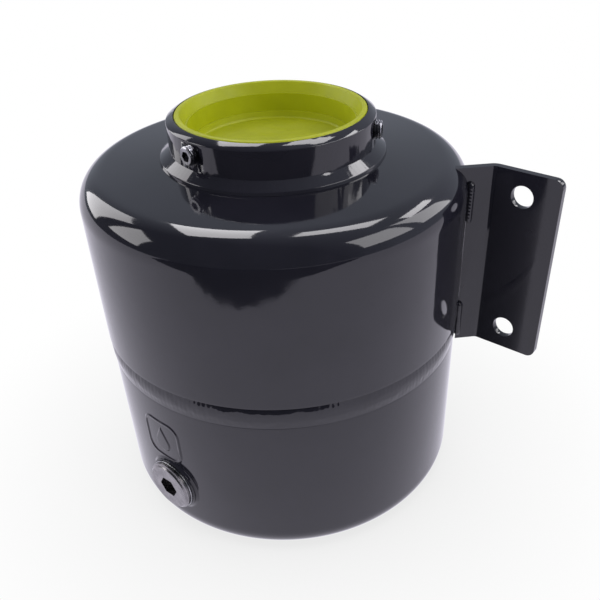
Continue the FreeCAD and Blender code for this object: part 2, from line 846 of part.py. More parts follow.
def make_valve_stem():
    """Brass valve stem: hexagon, threaded neck for the cap, threaded tail in the boss, bored through."""
    hex_top = "valve_boss_face - valve_gasket - 2 * fit_gap"
    hex_low = hex_top + " - stem_hex_height"
    body = new_body("gas_valve_stem")
    sketch = new_sketch(body, "stem_hexagon", "XY_Plane", hex_low)
    add_outline(sketch, hexagon_corners("stem_hex"))
    extrude(body, sketch, "stem_hexagon_pad", "stem_hex_height")
    revolve(
        body,
        "stem_shank",
        [
            ("0", "stem_mouth"),
            ("stem_neck - 0.5", "stem_mouth"),
            ("stem_neck", "stem_mouth + 0.5"),
            ("stem_neck", hex_low + " - 1"),
            ("stem_neck - 0.6", hex_low + " - 0.8"),
            ("stem_neck - 0.6", hex_low + " + 0.5"),
            ("valve_thread", hex_low + " + 0.5"),
            ("valve_thread", "valve_boss_top - 0.2", "0.5"),
            ("0", "valve_boss_top - 0.2"),
        ],
    )
    before = body.Shape.Volume
    cut_thread(body, "stem_thread_cut", "stem_neck", "stem_pitch", "stem_mouth - 0.9", "stem_thread")
    must_cut(body, before, "the stem's thread")
    bore = new_sketch(body, "stem_bore_outline", "XY_Plane")
    add_circle(bore, "0", "0", "stem_bore")
    before = body.Shape.Volume
    extrude(body, bore, "stem_bore_cut", "shell_radius", "PartDesign::Pocket", backwards=True)
    must_cut(body, before, "the stem's bore")


def make_valve_gasket():
    """Flat gasket between the stem's hexagon and the boss."""
    top = "valve_boss_face - fit_gap"
    turned_part(
        "gas_valve_gasket",
        [
            ("valve_thread + 0.15", top + " - valve_gasket"),
            ("stem_hex / 2", top + " - valve_gasket"),
            ("stem_hex / 2", top),
            ("valve_thread + 0.15", top),
        ],
    )


def make_core_barrel():
    """Valve core's barrel: a spring chamber below and a guide with the seat above."""
    outer = "stem_bore - fit_gap"
    guide = "pin_radius + 0.3"
    turned_part(
        "valve_core_barrel",
        [
            ("core_chamber", "core_bottom"),
            (outer, "core_bottom"),
            (outer, "core_seat - 1.2"),
            (outer + " - 0.6", "core_seat"),
            (guide, "core_seat"),
            (guide, "core_ledge"),
            ("core_chamber", "core_ledge"),
        ],
    )


def make_core_pin():
    """Valve pin: push end, spring collar, shaft and the disc that carries the seal."""
    turned_part(
        "valve_core_pin",
        [
            ("0", "stem_mouth + 0.2"),
            ("pin_radius + 0.2", "stem_mouth + 0.2"),
            ("pin_radius + 0.2", "core_bottom + 0.1"),
            ("core_chamber - 0.2", "core_bottom + 0.1"),
            ("core_chamber - 0.2", "core_bottom + 0.8"),
            ("pin_radius", "core_bottom + 0.8"),
            ("pin_radius", "core_seat + 0.8"),
            ("core_chamber + 0.1", "core_seat + 0.8"),
            ("core_chamber + 0.1", "core_seat + 1.4"),
            ("0", "core_seat + 1.4"),
        ],
    )


def make_core_seal():
    """Rubber washer that closes on the barrel's seat."""
    turned_part(
        "valve_core_seal",
        [
            ("pin_radius + fit_gap", "core_seat + fit_gap"),
            ("core_chamber + 0.1", "core_seat + fit_gap"),
            ("core_chamber + 0.1", "core_seat + 0.75"),
            ("pin_radius + fit_gap", "core_seat + 0.75"),
        ],
    )


def make_core_spring():
    """Compression spring between the barrel's ledge and the pin's collar."""
    body = new_body("valve_core_spring")
    low = "core_bottom + 0.8 + spring_wire + fit_gap"
    high = "core_ledge - spring_wire - fit_gap"
    wire = new_sketch(body, "spring_wire_section", "XZ_Plane")
    add_circle(wire, "spring_radius", low, "spring_wire")
    coil = body.newObject("PartDesign::AdditiveHelix", "spring_coil")
    coil.Profile = wire
    coil.ReferenceAxis = (wire, ["V_Axis"])
    coil.Mode = "pitch-height-angle"
    coil.setExpression("Pitch", bound(f"({high} - ({low})) / spring_turns"))
    coil.setExpression("Height", bound(f"{high} - ({low})"))
    doc.recompute()


def make_valve_cap():
    """Fluted plastic cap over the valve stem's neck."""
    top = "valve_boss_face - valve_gasket - stem_hex_height - 4 * fit_gap"
    bore = "stem_neck + thread_clearance"
    body = turned_part(
        "gas_valve_cap",
        [
            ("0", "valve_cap_bottom"),
            ("valve_cap_radius", "valve_cap_bottom", "1"),
            ("valve_cap_radius", top, "0.3"),
            (bore, top),
            (bore, "valve_cap_bottom + valve_cap_end"),
            ("0", "valve_cap_bottom + valve_cap_end"),
        ],
    )
    before = body.Shape.Volume
    sketch = new_sketch(body, "cap_flute_outline", "XY_Plane")
    add_circle(sketch, "valve_cap_radius + 0.35", "0", "0.7")
    flute = extrude(body, sketch, "cap_flute", "valve_cap_bottom + 8", "PartDesign::Pocket", backwards=True)
    repeat(body, flute, "cap_flutes", CAP_FLUTES)
    must_cut(body, before, "the flutes")


def make_valve_cap_seal():
    """Rubber disc in the bottom of the valve cap."""
    low = "valve_cap_bottom + valve_cap_end + fit_gap"
    turned_part(
        "gas_valve_cap_seal",
        [
            ("0", low),
            ("stem_neck - 0.1", low),
            ("stem_neck - 0.1", "stem_mouth - fit_gap"),
            ("0", "stem_mouth - fit_gap"),
        ],
    )


make_upper_shell()
make_lower_shell()
make_girth_weld()
make_neck_collar()
make_neck_weld()
for screw, azimuth in SCREW_AZIMUTHS.items():
    make_set_screw(screw, azimuth)
make_closing_cap()
make_bladder()
make_bladder_ring()
make_drain_boss()
make_drain_boss_weld()
make_drain_plug()
make_drain_seal()
make_wall_bracket()
make_bracket_welds()
make_valve_boss()
make_valve_weld()
make_valve_stem()
make_valve_gasket()
make_core_barrel()
make_core_pin()
make_core_seal()
make_core_spring()
make_valve_cap()
make_valve_cap_seal()
doc.recompute()

for item in doc.Objects:
    if {"Invalid", "Error"} & set(item.State):
        raise RuntimeError(f"{item.Label} did not compute: {item.State}")
for node in nodes:
    if node.Shape.isNull() or not node.Shape.isValid():
        raise RuntimeError(f"{node.Label} has no valid shape")

os.makedirs("parts", exist_ok=True)
for node in nodes:
    node.Shape.exportStep(f"parts/{node.Label}.step")
    solids = len(node.Shape.Solids)
    print(f"{node.Label}: {solids} solid(s), {node.Shape.Volume:.1f} mm3")
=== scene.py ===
import math

import bmesh
import bpy
from mathutils import Matrix, Vector, noise


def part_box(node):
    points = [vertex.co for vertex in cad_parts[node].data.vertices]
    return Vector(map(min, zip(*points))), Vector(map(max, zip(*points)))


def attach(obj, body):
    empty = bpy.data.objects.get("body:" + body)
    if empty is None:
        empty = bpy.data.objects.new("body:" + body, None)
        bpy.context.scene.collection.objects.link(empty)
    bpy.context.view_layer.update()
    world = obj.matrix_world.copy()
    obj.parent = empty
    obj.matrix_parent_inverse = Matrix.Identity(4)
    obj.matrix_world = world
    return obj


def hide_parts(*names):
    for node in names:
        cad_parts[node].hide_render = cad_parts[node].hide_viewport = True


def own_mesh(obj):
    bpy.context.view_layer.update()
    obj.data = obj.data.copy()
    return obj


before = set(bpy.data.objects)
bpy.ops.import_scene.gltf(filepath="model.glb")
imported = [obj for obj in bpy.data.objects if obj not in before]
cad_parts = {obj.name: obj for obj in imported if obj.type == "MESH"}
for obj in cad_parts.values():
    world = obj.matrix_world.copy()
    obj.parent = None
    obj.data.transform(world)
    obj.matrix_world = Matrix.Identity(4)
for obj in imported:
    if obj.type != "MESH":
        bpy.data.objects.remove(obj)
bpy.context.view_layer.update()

# Looks of the expansion vessel. Lengths are in metres, written as millimetres times MM.
MM = 0.001
DRAIN_ANGLE = math.radians(-90)
BRACKET_ANGLE = math.radians(45)
SHEET = 2.0 * MM
NECK = 57.2 * MM
KNUCKLE = 16.5 * MM
FIT = 0.05 * MM
LAP_GAP = 0.12 * MM
MARK_HALF = 14.5 * MM
SAME_POINT = 0.002 * MM


# Shapes ---------------------------------------------------------------------------------------------


def turned_size(node):
    """(outer radius, bottom, top) of a CAD node that is turned about the vessel's axis."""
    low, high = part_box(node)
    return high.x, low.z, high.z


def outline(corners, step):
    """Points around a closed outline, at most `step` apart. A corner is (x, y) or (x, y, rounding radius)."""
    spots = [Vector(corner[:2]) for corner in corners]
    stretches = []
    for i, spot in enumerate(spots):
        radius = corners[i][2] if len(corners[i]) > 2 else 0.0
        if not radius:
            stretches.append([spot])
            continue
        back = (spots[i - 1] - spot).normalized()
        ahead = (spots[(i + 1) % len(spots)] - spot).normalized()
        half = back.angle(ahead) / 2
        centre = spot + (back + ahead).normalized() * (radius / math.sin(half))
        start = spot + back * (radius / math.tan(half)) - centre
        finish = spot + ahead * (radius / math.tan(half)) - centre
        sweep = math.copysign(math.pi - 2 * half, start.cross(finish))
        count = max(3, math.ceil(abs(sweep) * radius / step), math.ceil(abs(sweep) / 0.2))
        turns = [Matrix.Rotation(sweep * k / count, 2) for k in range(count + 1)]
        stretches.append([centre + turn @ start for turn in turns])
    points = []
    for i, stretch in enumerate(stretches):
        points += stretch
        gap = stretches[(i + 1) % len(stretches)][0] - stretch[-1]
        pieces = math.ceil(gap.length / step)
        points += [stretch[-1] + gap * (k / pieces) for k in range(1, pieces)]
    return points


def even_angles(count):
    """Evenly spaced angles around the axis."""
    return [2 * math.pi * i / count for i in range(count)]


def finish_mesh(name, bm, sharp=math.radians(38)):
    """Turn a bmesh into an object with smooth faces and sharp creases."""
    bmesh.ops.remove_doubles(bm, verts=bm.verts, dist=SAME_POINT)
    bmesh.ops.recalc_face_normals(bm, faces=bm.faces)
    for face in bm.faces:
        face.smooth = True
    for edge in bm.edges:
        edge.smooth = edge.is_manifold and edge.calc_face_angle(0) < sharp
    mesh = bpy.data.meshes.new(name)
    bm.to_mesh(mesh)
    bm.free()
    piece = bpy.data.objects.new(name, mesh)
    bpy.context.scene.collection.objects.link(piece)
    return piece


def lathe(name, points, angles, shape=None):
    """A closed outline of (radius, height) points turned about Z. `shape` may move each point."""
    bm = bmesh.new()
    rings = []
    for angle in angles:
        across, along = math.cos(angle), math.sin(angle)
        ring = []
        for radius, height in points:
            if shape:
                radius, height = shape(radius, height, angle)
            ring.append(bm.verts.new((radius * across, radius * along, height)))
        rings.append(ring)
    for here, there in zip(rings, rings[1:] + rings[:1]):
        for k in range(len(points)):
            bm.faces.new((here[k - 1], here[k], there[k], there[k - 1]))
    return finish_mesh(name, bm)


def adopt(piece, material, body, slot, *nodes):
    """Give a new piece its material, its body and the CAD nodes that it stands for."""
    piece.data.materials.append(material)
    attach(piece, body)
    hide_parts(*nodes)


def apply_modifiers(piece):
    """Turn a piece's modifiers into plain mesh."""
    graph = bpy.context.evaluated_depsgraph_get()
    mesh = bpy.data.meshes.new_from_object(piece.evaluated_get(graph))
    piece.modifiers.clear()
    piece.data = mesh


def ripple(angle, radius, height, size, seed=0.0):
    """Smooth noise between about -1 and 1 whose bumps are `size` across on a turned surface."""
    spot = Vector((radius * math.cos(angle), radius * math.sin(angle), height)) / size
    return noise.noise(spot + Vector((seed, 2 * seed, 3 * seed)))


def smoothstep(value, start, end):
    """0 before start, 1 after end, and smooth between them."""
    share = min(1.0, max(0.0, (value - start) / (end - start)))
    return share * share * (3 - 2 * share)


# Materials ------------------------------------------------------------------------------------------


class Finish:
    """A node material that is put together from a few procedural layers."""

    def __init__(self, name):
        self.material = bpy.data.materials.new(name)
        self.material.use_nodes = True
        self.nodes = self.material.node_tree.nodes
        self.links = self.material.node_tree.links
        self.shader = self.nodes["Principled BSDF"]
        self.place = self.nodes.new("ShaderNodeTexCoord").outputs["Object"]
        self.normal = None

    def noise(self, size, detail=3.0, roughness=0.55):
        """Noise whose blobs are about `size` metres across."""
        node = self.nodes.new("ShaderNodeTexNoise")
        node.inputs["Scale"].default_value = 1 / size
        node.inputs["Detail"].default_value = detail
        node.inputs["Roughness"].default_value = roughness
        self.links.new(self.place, node.inputs["Vector"])
        return node.outputs["Fac"]

    def ramp(self, factor, low, high, start=0.35, end=0.65):
        """A value that goes from low to high as the factor goes from start to end."""
        node = self.nodes.new("ShaderNodeMapRange")
        node.inputs["From Min"].default_value = start
        node.inputs["From Max"].default_value = end
        node.inputs["To Min"].default_value = low
        node.inputs["To Max"].default_value = high
        self.links.new(factor, node.inputs["Value"])
        return node.outputs["Result"]

    def colour(self, factor, first, second, start=0.35, end=0.65):
        """Mix the base colour between two colours."""
        node = self.nodes.new("ShaderNodeMix")
        node.data_type = "RGBA"
        node.inputs["A"].default_value = (*first, 1)
        node.inputs["B"].default_value = (*second, 1)
        self.links.new(self.ramp(factor, 0, 1, start, end), node.inputs["Factor"])
        self.links.new(node.outputs["Result"], self.shader.inputs["Base Color"])

    def roughness(self, factor, low, high):
        """Let the roughness follow a factor."""
        self.links.new(self.ramp(factor, low, high), self.shader.inputs["Roughness"])

    def bump(self, height, distance, strength=1.0):
        """Add a layer of relief, `distance` metres high."""
        node = self.nodes.new("ShaderNodeBump")
        node.inputs["Distance"].default_value = distance
        node.inputs["Strength"].default_value = strength
        self.links.new(height, node.inputs["Height"])
        if self.normal:
            self.links.new(self.normal, node.inputs["Normal"])
        self.normal = node.outputs["Normal"]
        self.links.new(self.normal, self.shader.inputs["Normal"])

    def rings(self, axis, centre, pitch):
        """Fine concentric turning marks around a line along the X, Y or Z axis."""
        split = self.nodes.new("ShaderNodeSeparateXYZ")
        self.links.new(self.place, split.inputs["Vector"])
        squares = []
        for name, middle in zip([letter for letter in "XYZ" if letter != axis], centre):
            shift = self.nodes.new("ShaderNodeMath")
            shift.operation = "SUBTRACT"
            shift.inputs[1].default_value = middle
            self.links.new(split.outputs[name], shift.inputs[0])
            square = self.nodes.new("ShaderNodeMath")
            square.operation = "POWER"
            square.inputs[1].default_value = 2
            self.links.new(shift.outputs[0], square.inputs[0])
            squares.append(square.outputs[0])
        total = self.nodes.new("ShaderNodeMath")
        total.operation = "ADD"
        self.links.new(squares[0], total.inputs[0])
        self.links.new(squares[1], total.inputs[1])
        root = self.nodes.new("ShaderNodeMath")
        root.operation = "SQRT"
        self.links.new(total.outputs[0], root.inputs[0])
        turns = self.nodes.new("ShaderNodeMath")
        turns.operation = "MULTIPLY"
        turns.inputs[1].default_value = 2 * math.pi / pitch
        self.links.new(root.outputs[0], turns.inputs[0])
        wave = self.nodes.new("ShaderNodeMath")
        wave.operation = "SINE"
        self.links.new(turns.outputs[0], wave.inputs[0])
        return wave.outputs[0]

    def set(self, **values):
        """Set plain inputs of the shader, with _ for the spaces in their names."""
        for name, number in values.items():
            self.shader.inputs[name.replace("_", " ")].default_value = number
        return self


def powder_coat(name, lump=0.0):
    """Glossy anthracite powder coat with faint orange peel. `lump` adds the relief of a weld under it."""
    finish = Finish(name)
    finish.set(IOR=1.5, Specular_IOR_Level=0.5)
    finish.colour(finish.noise(40 * MM), (0.0098, 0.0098, 0.0150), (0.0130, 0.0126, 0.0190))
    finish.roughness(finish.noise(25 * MM), 0.05, 0.08)
    if lump:
        finish.bump(finish.noise(3.5 * MM, 2), lump)
    finish.bump(finish.noise(2.4 * MM, 2), 0.007 * MM)
    finish.bump(finish.noise(0.5 * MM, 1), 0.0008 * MM)
    return finish.material


def cap_plastic(name, first, second):
    """Injection-moulded polyethylene with a satin surface and flow streaks."""
    finish = Finish(name)
    finish.set(IOR=1.5, Specular_IOR_Level=0.22, Subsurface_Weight=0.12, Subsurface_Scale=1.5 * MM)
    finish.shader.inputs["Subsurface Radius"].default_value = (1.0, 1.0, 0.3)
    finish.colour(finish.noise(18 * MM, 4), first, second)
    finish.roughness(finish.noise(6 * MM), 0.40, 0.52)
    finish.bump(finish.noise(7 * MM, 2), 0.10 * MM)
    finish.bump(finish.noise(0.35 * MM, 2), 0.006 * MM)
    return finish.material


def machined_metal(name, first, second, axis, centre, roughness=(0.24, 0.32), pitch=0.22 * MM):
    """Turned metal with fine concentric tool marks."""
    finish = Finish(name)
    finish.set(Metallic=1.0)
    finish.colour(finish.noise(5 * MM, 3), first, second)
    finish.roughness(finish.noise(4 * MM), *roughness)
    finish.bump(finish.rings(axis, centre, pitch), 0.0006 * MM)
    finish.bump(finish.noise(0.6 * MM, 2), 0.001 * MM)
    return finish.material


def rubber(name, first, second, grain=0.4 * MM):
    """Moulded black rubber with a matt bloom."""
    finish = Finish(name)
    finish.colour(finish.noise(12 * MM, 4), first, second)
    finish.roughness(finish.noise(5 * MM), 0.55, 0.8)
    finish.bump(finish.noise(6 * MM, 2), 0.05 * MM)
    finish.bump(finish.noise(grain, 2), 0.02 * MM)
    return finish.material


# Pieces ---------------------------------------------------------------------------------------------


def make_upper_shell(material):
    """Upper half: straight wall, drawn shoulder and coned top, slightly uneven as drawn sheet is."""
    reach, low, high = turned_size("upper_shell")
    rise, taper, edge = 3.9 * MM, 0.6 * MM, 0.45 * MM
    shoulder, hole = reach - taper, NECK + FIT
    corners = [
        (reach - SHEET, low, edge),
        (reach, low, edge),
        (shoulder, high - rise, KNUCKLE),
        (hole, high),
        (hole, high - SHEET),
        (shoulder - SHEET, high - rise - SHEET, KNUCKLE - SHEET),
    ]

    def drawn(point_radius, height, angle):
        dent = 0.05 * MM * ripple(angle, point_radius, height, 60 * MM)
        dent += 0.022 * MM * ripple(angle, point_radius, height, 9 * MM, seed=5)
        return point_radius + dent, height

    piece = lathe("upper_shell_drawn", outline(corners, 1.6 * MM), even_angles(480), drawn)
    adopt(piece, material, "root", "shell_paint", "upper_shell")


def drop_distance(across, upwards):
    """Distance outside a water drop's edge; the drop has a round belly and a tip above it."""
    radius, tip = 5.5 * MM, 12.0 * MM
    lean = math.asin(radius / tip)
    if upwards * math.cos(lean) > abs(across) * math.sin(lean):
        return abs(across) * math.cos(lean) + upwards * math.sin(lean) - radius
    return math.hypot(across, upwards) - radius


def mark_distance(across, upwards):
    """Distance outside the raised mark: a drop in a frame with rounded corners."""
    corner, line, drop_shift = 8 * MM, 1.8 * MM, 3 * MM
    straight = MARK_HALF - corner
    beside, above = max(abs(across) - straight, 0), max(abs(upwards) - straight, 0)
    beyond = math.hypot(beside, above) - corner
    if max(abs(across), abs(upwards)) < straight:
        beyond = max(abs(across), abs(upwards)) - MARK_HALF
    frame_line = abs(beyond + line / 2) - line / 2
    return min(frame_line, drop_distance(across, upwards + drop_shift))


def make_lower_shell(material):
    """Lower half: joggled rim, rounded bottom edge, base ring, recess, drain hole and embossed drop."""
    radius, low, high = turned_size("lower_shell")
    ring_inner, recess, recess_depth = 62 * MM, 46 * MM, 22 * MM
    lap = turned_size("upper_shell")[0] - SHEET - LAP_GAP
    joggle_start, joggle_end, joggle_lean = 101 * MM, 104.5 * MM, 0.3 * MM
    hole = turned_size("gas_valve_boss")[0] + FIT
    recess_lean = 0.48 * SHEET
    tight, wide = 5 * MM, 7 * MM
    corners = [
        (hole, recess_depth),
        (recess, recess_depth, tight),
        (ring_inner, low, wide),
        (radius, low, KNUCKLE),
        (radius, joggle_start, 2 * MM),
        (lap, joggle_end, 2 * MM),
        (lap, high),
        (lap - SHEET, high),
        (lap - SHEET, joggle_end - joggle_lean, 2 * MM),
        (radius - SHEET, joggle_start - joggle_lean, 2 * MM),
        (radius - SHEET, low + SHEET, KNUCKLE - SHEET),
        (ring_inner + recess_lean, low + SHEET, tight),
        (recess + recess_lean, recess_depth + SHEET, wide),
        (hole, recess_depth + SHEET),
    ]
    mark_height, mark_shift, mark_half = 72.2 * MM, -3.5 * MM, MARK_HALF + 1 * MM
    relief, blend = 0.6 * MM, 0.5 * MM
    middle_skin = radius - SHEET * 0.5

    def drawn(point_radius, height, angle):
        dent = 0.05 * MM * ripple(angle, radius, height, 60 * MM, seed=3)
        dent += 0.010 * MM * ripple(angle, radius, height, 10 * MM, seed=8)
        across = radius * math.sin(angle - DRAIN_ANGLE) - mark_shift
        outside = point_radius > middle_skin and math.cos(angle - DRAIN_ANGLE) > 0
        if outside and max(abs(across), abs(height - mark_height)) < mark_half:
            distance = mark_distance(across, height - mark_height)
            dent += relief * (1 - smoothstep(distance, -blend, blend))
        return point_radius + dent * smoothstep(height, 0, 12 * MM), height

    def fine_rows(point):
        return point.x > middle_skin and abs(point.y - mark_height) < mark_half + 1 * MM

    rows, row_split = [], 6
    coarse = outline(corners, 1.6 * MM)
    for here, there in zip(coarse, coarse[1:] + coarse[:1]):
        rows.append(here)
        if fine_rows(here) and fine_rows(there):
            rows += [here.lerp(there, k / row_split) for k in range(1, row_split)]
    # the mark needs narrow steps around the axis, the rest of the wall doesn't
    fine_step, coarse_count = math.radians(0.14), 440
    fine = [DRAIN_ANGLE + k * fine_step for k in range(-78, 52)]
    remainder = 2 * math.pi - (fine[-1] - fine[0])
    rest = [fine[-1] + remainder * k / coarse_count for k in range(1, coarse_count)]
    piece = lathe("lower_shell_drawn", rows, fine + rest, drawn)
    cut_drain_hole(piece)
    adopt(piece, material, "root", "shell_paint", "lower_shell")


def cut_drain_hole(piece):
    """Bore the hole in which the drain boss stands."""
    low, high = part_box("drain_boss")
    radius = (high.x - low.x) / 2 + FIT
    upright = Matrix.Rotation(math.pi / 2, 4, "X")
    bm = bmesh.new()
    bmesh.ops.create_cone(
        bm,
        cap_ends=True,
        segments=160,
        radius1=radius,
        radius2=radius,
        depth=60 * MM,
        matrix=Matrix.Translation((0, low.y, (low.z + high.z) / 2)) @ upright,
    )
    drill = finish_mesh("drain_drill", bm)
    bore = piece.modifiers.new("drain_hole", "BOOLEAN")
    bore.object = drill
    apply_modifiers(piece)
    bpy.data.objects.remove(drill)


def make_girth_weld(material):
    """Broad, slightly uneven bead under the upper shell's edge; its top leans back into a groove."""
    reach, low, high = turned_size("girth_weld")
    foot, wall = turned_size("lower_shell")[0], turned_size("upper_shell")[0]
    inner = wall - SHEET - LAP_GAP + FIT
    root = wall - 1.4 * MM
    corners = [
        (inner, low + 3.1 * MM),
        (inner, high),
        (root, high, 0.3 * MM),
        (wall + FIT, low + 7.9 * MM, 20 * MM),
        (foot + FIT, low),
    ]

    def bead(point_radius, height, angle):
        crown = smoothstep(height, low, low + 3 * MM) * smoothstep(point_radius, inner, inner + 1 * MM)
        scales = 0.03 * MM * math.sin(angle * 230 + 5 * ripple(angle, reach, 0, 30 * MM))
        lumps = 0.11 * MM * ripple(angle, reach, height, 4 * MM, seed=2)
        swell = 0.14 * MM * ripple(angle, reach, height, 20 * MM, seed=4)
        return min(reach, point_radius + crown * (scales + lumps + swell)), height

    piece = lathe("girth_weld_bead", outline(corners, 0.5 * MM), even_angles(1260), bead)
    adopt(piece, material, "root", "weld_paint", "girth_weld")


def make_neck_weld(material):
    """Fillet from the shell's top up to the collar, with a low rounded lip along its toe."""
    reach, low, high = turned_size("neck_weld")
    collar = NECK + FIT
    corners = [
        (collar, low + 0.45 * MM),
        (reach, low),
        (reach - 0.5 * MM, low + 1.6 * MM, 0.7 * MM),
        (collar, high),
    ]

    def fillet(point_radius, height, angle):
        crown = smoothstep(height, low + 0.3 * MM, low + 2 * MM)
        scales = 0.006 * MM * math.sin(angle * 130 + 6 * ripple(angle, reach, 0, 25 * MM))
        swell = 0.12 * MM * ripple(angle, reach, height, 16 * MM, seed=6)
        shift = crown * (scales + swell) * smoothstep(high - height, 0, 1 * MM)
        return point_radius + shift * 0.5, height + shift

    piece = lathe("neck_weld_fillet", outline(corners, 0.4 * MM), even_angles(720), fillet)
    adopt(piece, material, "root", "weld_paint", "neck_weld")


def make_boss_weld(material):
    """Small fillet around the drain boss that follows the shell's round wall."""
    low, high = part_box("drain_boss")
    centre = (low.z + high.z) / 2
    inner = (high.x - low.x) / 2 + FIT
    wall = turned_size("lower_shell")[0] + FIT
    leg, rise, below = 1.45 * MM, 0.95 * MM, 0.3 * MM
    section = [(0.0, -below), (0.0, rise), (0.25 * leg, 0.72 * rise), (0.6 * leg, 0.3 * rise), (leg, 0.0)]
    bm = bmesh.new()
    rings = []
    for angle in even_angles(240):
        ring = []
        for outwards, lift in section:
            lump = 1 + 0.12 * noise.noise(Vector((math.cos(angle), math.sin(angle), outwards / leg)) * 6)
            away = inner + outwards * lump
            x, z = away * math.cos(angle), away * math.sin(angle)
            ring.append(bm.verts.new((x, -math.sqrt(wall**2 - x**2) - max(0.0, lift) * lump, centre + z)))
        rings.append(ring)
    for here, there in zip(rings, rings[1:] + rings[:1]):
        for k in range(len(section)):
            bm.faces.new((here[k - 1], here[k], there[k], there[k - 1]))
    piece = finish_mesh("drain_boss_fillet", bm)
    adopt(piece, material, "root", "weld_paint", "drain_boss_weld")


def make_bracket_welds(material):
    """Short stacked beads on both sides of the bracket's leg, at the places of the CAD beads."""
    along = Vector((math.cos(BRACKET_ANGLE), math.sin(BRACKET_ANGLE), 0))
    across = Vector((-along.y, along.x, 0))
    spots = [vertex.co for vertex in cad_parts["bracket_welds"].data.vertices]
    middle = sum(spots, Vector()) / len(spots)
    groups = {}
    for spot in spots:
        key = ((spot - middle).dot(across) > 0, spot.z > middle.z)
        groups.setdefault(key, []).append(spot)
    bm = bmesh.new()
    for (outer, _), members in sorted(groups.items()):
        low, high = min(spot.z for spot in members), max(spot.z for spot in members)
        side = across if outer else -across
        foot = sum(members, Vector()) / len(members)
        inset = (side + along) * 0.5 * MM
        add_bead(bm, Vector((foot.x, foot.y, 0)) - inset, low, high, side + along)
    piece = finish_mesh("bracket_weld_beads", bm, sharp=math.radians(80))
    adopt(piece, material, "root", "weld_paint", "bracket_welds")


def add_bead(bm, foot, low, high, outwards):
    """One upright bead of overlapping scales with rounded ends."""
    radius, turns, steps = 2.15 * MM, 28, 70
    scale_pitch, sag_depth = 2.0 * MM, 0.5 * MM
    straight = (high - low) / 2 - radius
    heights = [low + (high - low) * k / steps for k in range(steps + 1)]
    rings = []
    for height in heights:
        overshoot = max(0.0, abs(height - (low + high) / 2) - straight) / radius
        girth = radius * math.sqrt(max(0.0, 1 - overshoot**2))
        scale = 1 + 0.03 * math.cos(2 * math.pi * height / scale_pitch)
        ring = []
        for k in range(turns):
            angle = 2 * math.pi * k / turns
            spoke = Vector((math.cos(angle), math.sin(angle), 0))
            sag = sag_depth * max(0.0, spoke.dot(outwards.normalized()))
            lump = 1 + 0.05 * noise.noise((foot + spoke * radius + Vector((0, 0, height))) / (4 * MM))
            ring.append(bm.verts.new(foot + spoke * girth * scale * lump + Vector((0, 0, height - sag))))
        rings.append(ring)
    for here, there in zip(rings, rings[1:]):
        for k in range(turns):
            bm.faces.new((here[k - 1], here[k], there[k], there[k - 1]))
    bm.faces.new(rings[0])
    bm.faces.new(rings[-1])


def make_bladder(material):
    """Moulded butyl bladder: thick lip, plain neck and shallow pleats in its hanging belly."""
    reach, low, high = turned_size("bladder")
    lip = turned_size("bladder_retaining_ring")[0]
    skin, neck, shoulder = 2.2 * MM, 46.7 * MM, 199 * MM
    seat, lip = high - 3.9 * MM, lip - 0.1 * MM
    corners = [
        (0.0, low),
        (reach, low, 45 * MM),
        (reach, shoulder, 30 * MM),
        (neck, shoulder, 3 * MM),
        (neck, seat, 0.4 * MM),
        (lip, seat, 0.4 * MM),
        (lip, high, 1 * MM),
        (neck - skin, high, 1 * MM),
        (neck - skin, shoulder - skin, 5.2 * MM),
        (reach - skin, shoulder - skin, 28 * MM),
        (reach - skin, low + skin, 43 * MM),
        (0.0, low + skin),
    ]

    def hang(point_radius, height, angle):
        belly = smoothstep(point_radius, 50 * MM, 85 * MM)
        pleats = -1.1 * MM * (0.5 + 0.5 * math.cos(8 * angle)) ** 3
        slack = 1.2 * MM * (ripple(angle, reach, height, 55 * MM, seed=9) - 1)
        return point_radius + belly * (pleats + slack), height

    piece = lathe("bladder_moulded", outline(corners, 2.2 * MM), even_angles(240), hang)
    adopt(piece, material, "root", "bladder_rubber", "bladder")


def make_core_spring(material):
    """Coiled wire in the valve core, the spring that the pin presses together; it is drawn at one fixed
    length.
    """
    low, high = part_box("valve_core_spring")
    wire, turns, press, steps = 0.18 * MM, 6, 1.2 * MM, 24
    radius, bottom, top = high.x - wire, low.z + wire, high.z - wire
    bm = bmesh.new()
    rings = []
    for k in range(turns * steps + 1):
        angle = 2 * math.pi * k / steps
        outwards = Vector((math.cos(angle), math.sin(angle), 0))
        centre = outwards * radius + Vector((0, 0, bottom + (top - bottom) * k / (turns * steps)))
        ring = []
        for turn in even_angles(12):
            around = outwards * math.cos(turn) + Vector((0, 0, math.sin(turn)))
            ring.append(bm.verts.new(centre + around * wire))
        rings.append(ring)
    for here, there in zip(rings, rings[1:]):
        for k in range(len(here)):
            bm.faces.new((here[k - 1], here[k], there[k], there[k - 1]))
    bm.faces.new(rings[0])
    bm.faces.new(rings[-1])
    piece = finish_mesh("valve_core_spring_wire", bm)
    adopt(piece, material, "root", "plain_steel", "valve_core_spring")
    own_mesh(piece)


def soften(node, width, angle=32):
    """Round a CAD node's edges for the light, without touching its mesh."""
    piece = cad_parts[node]
    weld = piece.modifiers.new("joined", "WELD")
    weld.merge_threshold = 0.001 * MM
    bevel = piece.modifiers.new("edges", "BEVEL")
    bevel.width = width
    bevel.segments = 3
    bevel.limit_method = "ANGLE"
    bevel.angle_limit = math.radians(angle)
    bevel.harden_normals = True
    return piece


def paint_node(node, material):
    """Give a CAD node a finished material."""
    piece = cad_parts[node]
    if not piece.material_slots:
        piece.data.materials.append(material)
    for slot in piece.material_slots:
        slot.material = material


